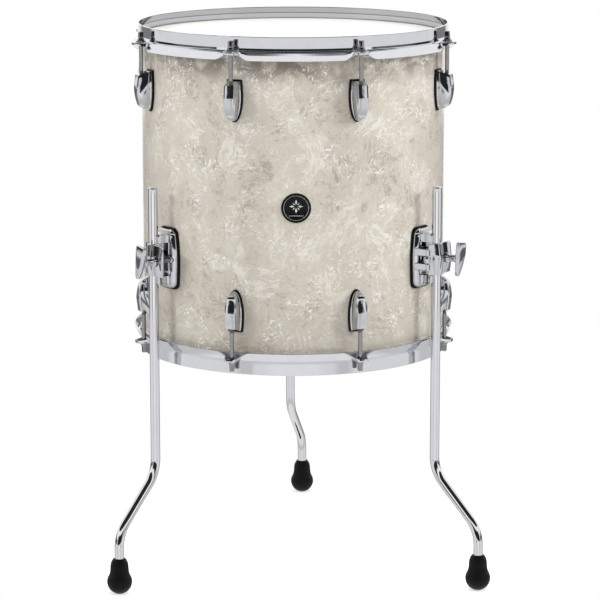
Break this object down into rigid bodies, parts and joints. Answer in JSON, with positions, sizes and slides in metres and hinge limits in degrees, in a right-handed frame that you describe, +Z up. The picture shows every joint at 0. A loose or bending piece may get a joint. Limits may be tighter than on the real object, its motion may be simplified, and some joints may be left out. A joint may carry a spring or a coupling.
{
  "type": "floor tom drum",
  "caption": "Standing tom drum: pearl-wrapped cylindrical shell, stamped chrome hoops, tension rods in cast lugs, and bent legs with rubber feet held in hinged clamp brackets.",
  "frame": {"origin": "on the floor, on the axis of the shell", "axes": "+Z up along the shell's axis, -Y towards the badge, +X to the right as the badge is faced"},
  "size_m": [0.5051, 0.5382, 0.733],
  "materials": {
    "maple_ply": "satin, lacquered inside",
    "pearl_wrap": "gloss pearl with feathered flakes",
    "badge_black": "gloss with a thin silver ring",
    "coated_head": "fine coated film",
    "clear_head": "clear film",
    "head_ring": "satin",
    "hoop_chrome": "mirror",
    "lug_chrome": "mirror",
    "rod_chrome": "mirror",
    "bracket_chrome": "mirror",
    "leg_chrome": "mirror",
    "gasket_black": "matt",
    "foot_rubber": "matt",
    "steel_zinc": "zinc plated"
  },
  "bodies": {
    "drum": {"shell": "maple_ply", "pearl_wrap": "pearl_wrap", "badge": "badge_black", "batter_film": "coated_head", "resonant_film": "clear_head", "batter_flesh_hoop": "head_ring", "resonant_flesh_hoop": "head_ring", "batter_hoop": "hoop_chrome", "resonant_hoop": "hoop_chrome", "lug_casings_top": "lug_chrome", "lug_casings_bottom": "lug_chrome", "lug_gaskets": "gasket_black", "lug_swivel_nuts": "steel_zinc", "lug_screws": "steel_zinc", "lug_screw_washers": "steel_zinc", "rod_washers_top": "rod_chrome", "rod_washers_bottom": "rod_chrome", "bracket_base_left": "bracket_chrome", "bracket_base_right": "bracket_chrome", "bracket_base_rear": "bracket_chrome", "bracket_gaskets": "gasket_black", "bracket_screws": "steel_zinc", "bracket_screw_washers": "steel_zinc", "hinge_pins": "steel_zinc", "clamp_bolts": "rod_chrome"},
    "rod_top_1": {"rod_top_1": "rod_chrome"},
    "rod_bottom_1": {"rod_bottom_1": "rod_chrome"},
    "rod_top_2": {"rod_top_2": "rod_chrome"},
    "rod_bottom_2": {"rod_bottom_2": "rod_chrome"},
    "rod_top_3": {"rod_top_3": "rod_chrome"},
    "rod_bottom_3": {"rod_bottom_3": "rod_chrome"},
    "rod_top_4": {"rod_top_4": "rod_chrome"},
    "rod_bottom_4": {"rod_bottom_4": "rod_chrome"},
    "rod_top_5": {"rod_top_5": "rod_chrome"},
    "rod_bottom_5": {"rod_bottom_5": "rod_chrome"},
    "rod_top_6": {"rod_top_6": "rod_chrome"},
    "rod_bottom_6": {"rod_bottom_6": "rod_chrome"},
    "rod_top_7": {"rod_top_7": "rod_chrome"},
    "rod_bottom_7": {"rod_bottom_7": "rod_chrome"},
    "rod_top_8": {"rod_top_8": "rod_chrome"},
    "rod_bottom_8": {"rod_bottom_8": "rod_chrome"},
    "jaw_left": {"clamp_jaw_left": "bracket_chrome"},
    "washer_left": {"wing_washer_left": "rod_chrome"},
    "wing_left": {"wing_nut_left": "bracket_chrome"},
    "leg_left": {"leg_left": "leg_chrome", "rubber_foot_left": "foot_rubber"},
    "jaw_right": {"clamp_jaw_right": "bracket_chrome"},
    "washer_right": {"wing_washer_right": "rod_chrome"},
    "wing_right": {"wing_nut_right": "bracket_chrome"},
    "leg_right": {"leg_right": "leg_chrome", "rubber_foot_right": "foot_rubber"},
    "jaw_rear": {"clamp_jaw_rear": "bracket_chrome"},
    "washer_rear": {"wing_washer_rear": "rod_chrome"},
    "wing_rear": {"wing_nut_rear": "bracket_chrome"},
    "leg_rear": {"leg_rear": "leg_chrome", "rubber_foot_rear": "foot_rubber"}
  },
  "joints": [
    {"name": "rod_top_1_turn", "type": "hinge", "parent": "drum", "child": "rod_top_1", "pos_m": [0.08304, -0.20048, 0.69], "axis": [0, 0, 1], "range_deg": [-540, 540]},
    {"name": "rod_bottom_1_turn", "type": "hinge", "parent": "drum", "child": "rod_bottom_1", "pos_m": [0.08304, -0.20048, 0.337], "axis": [0, 0, -1], "range_deg": [-540, 540]},
    {"name": "rod_top_2_turn", "type": "hinge", "parent": "drum", "child": "rod_top_2", "pos_m": [0.20048, -0.08304, 0.69], "axis": [0, 0, 1], "range_deg": [-540, 540]},
    {"name": "rod_bottom_2_turn", "type": "hinge", "parent": "drum", "child": "rod_bottom_2", "pos_m": [0.20048, -0.08304, 0.337], "axis": [0, 0, -1], "range_deg": [-540, 540]},
    {"name": "rod_top_3_turn", "type": "hinge", "parent": "drum", "child": "rod_top_3", "pos_m": [0.20048, 0.08304, 0.69], "axis": [0, 0, 1], "range_deg": [-540, 540]},
    {"name": "rod_bottom_3_turn", "type": "hinge", "parent": "drum", "child": "rod_bottom_3", "pos_m": [0.20048, 0.08304, 0.337], "axis": [0, 0, -1], "range_deg": [-540, 540]},
    {"name": "rod_top_4_turn", "type": "hinge", "parent": "drum", "child": "rod_top_4", "pos_m": [0.08304, 0.20048, 0.69], "axis": [0, 0, 1], "range_deg": [-540, 540]},
    {"name": "rod_bottom_4_turn", "type": "hinge", "parent": "drum", "child": "rod_bottom_4", "pos_m": [0.08304, 0.20048, 0.337], "axis": [0, 0, -1], "range_deg": [-540, 540]},
    {"name": "rod_top_5_turn", "type": "hinge", "parent": "drum", "child": "rod_top_5", "pos_m": [-0.08304, 0.20048, 0.69], "axis": [0, 0, 1], "range_deg": [-540, 540]},
    {"name": "rod_bottom_5_turn", "type": "hinge", "parent": "drum", "child": "rod_bottom_5", "pos_m": [-0.08304, 0.20048, 0.337], "axis": [0, 0, -1], "range_deg": [-540, 540]},
    {"name": "rod_top_6_turn", "type": "hinge", "parent": "drum", "child": "rod_top_6", "pos_m": [-0.20048, 0.08304, 0.69], "axis": [0, 0, 1], "range_deg": [-540, 540]},
    {"name": "rod_bottom_6_turn", "type": "hinge", "parent": "drum", "child": "rod_bottom_6", "pos_m": [-0.20048, 0.08304, 0.337], "axis": [0, 0, -1], "range_deg": [-540, 540]},
    {"name": "rod_top_7_turn", "type": "hinge", "parent": "drum", "child": "rod_top_7", "pos_m": [-0.20048, -0.08304, 0.69], "axis": [0, 0, 1], "range_deg": [-540, 540]},
    {"name": "rod_bottom_7_turn", "type": "hinge", "parent": "drum", "child": "rod_bottom_7", "pos_m": [-0.20048, -0.08304, 0.337], "axis": [0, 0, -1], "range_deg": [-540, 540]},
    {"name": "rod_top_8_turn", "type": "hinge", "parent": "drum", "child": "rod_top_8", "pos_m": [-0.08304, -0.20048, 0.69], "axis": [0, 0, 1], "range_deg": [-540, 540]},
    {"name": "rod_bottom_8_turn", "type": "hinge", "parent": "drum", "child": "rod_bottom_8", "pos_m": [-0.08304, -0.20048, 0.337], "axis": [0, 0, -1], "range_deg": [-540, 540]},
    {"name": "jaw_left_open", "type": "hinge", "parent": "drum", "child": "jaw_left", "pos_m": [-0.1902, -0.11965, 0.4345], "axis": [0, 0, -1], "range_deg": [0, 4.8]},
    {"name": "washer_left_out", "type": "slide", "parent": "drum", "child": "washer_left", "axis": [-0.809, -0.5878, 0], "range_m": [0, 0.00301]},
    {"name": "wing_left_turn", "type": "hinge", "parent": "washer_left", "child": "wing_left", "pos_m": [-0.19176, -0.15663, 0.4345], "axis": [-0.809, -0.5878, 0], "range_deg": [0, 1080]},
    {"name": "leg_left_height", "type": "slide", "parent": "drum", "child": "leg_left", "axis": [0, 0, 1], "range_m": [-0.05, 0.2]},
    {"name": "jaw_right_open", "type": "hinge", "parent": "drum", "child": "jaw_right", "pos_m": [0.17256, -0.14392, 0.4345], "axis": [0, 0, -1], "range_deg": [0, 4.8]},
    {"name": "washer_right_out", "type": "slide", "parent": "drum", "child": "washer_right", "axis": [0.809, -0.5878, 0], "range_m": [0, 0.00301]},
    {"name": "wing_right_turn", "type": "hinge", "parent": "washer_right", "child": "wing_right", "pos_m": [0.20822, -0.13397, 0.4345], "axis": [0.809, -0.5878, 0], "range_deg": [0, 1080]},
    {"name": "leg_right_height", "type": "slide", "parent": "drum", "child": "leg_right", "axis": [0, 0, 1], "range_m": [-0.05, 0.2]},
    {"name": "jaw_rear_open", "type": "hinge", "parent": "drum", "child": "jaw_rear", "pos_m": [0.015, 0.2242, 0.4345], "axis": [0, 0, -1], "range_deg": [0, 4.8]},
    {"name": "washer_rear_out", "type": "slide", "parent": "drum", "child": "washer_rear", "axis": [0, 1, 0], "range_m": [0, 0.00301]},
    {"name": "wing_rear_turn", "type": "hinge", "parent": "washer_rear", "child": "wing_rear", "pos_m": [-0.014, 0.2472, 0.4345], "axis": [0, 1, 0], "range_deg": [0, 1080]},
    {"name": "leg_rear_height", "type": "slide", "parent": "drum", "child": "leg_rear", "axis": [0, 0, 1], "range_m": [-0.05, 0.2]}
  ],
  "couplings": [
    {"joint": "washer_left_out", "follows": "wing_left_turn", "m_per_rad": 0.00015915},
    {"joint": "jaw_left_open", "follows": "wing_left_turn", "ratio": 0.004421},
    {"joint": "washer_right_out", "follows": "wing_right_turn", "m_per_rad": 0.00015915},
    {"joint": "jaw_right_open", "follows": "wing_right_turn", "ratio": 0.004421},
    {"joint": "washer_rear_out", "follows": "wing_rear_turn", "m_per_rad": 0.00015915},
    {"joint": "jaw_rear_open", "follows": "wing_rear_turn", "ratio": 0.004421}
  ]
}
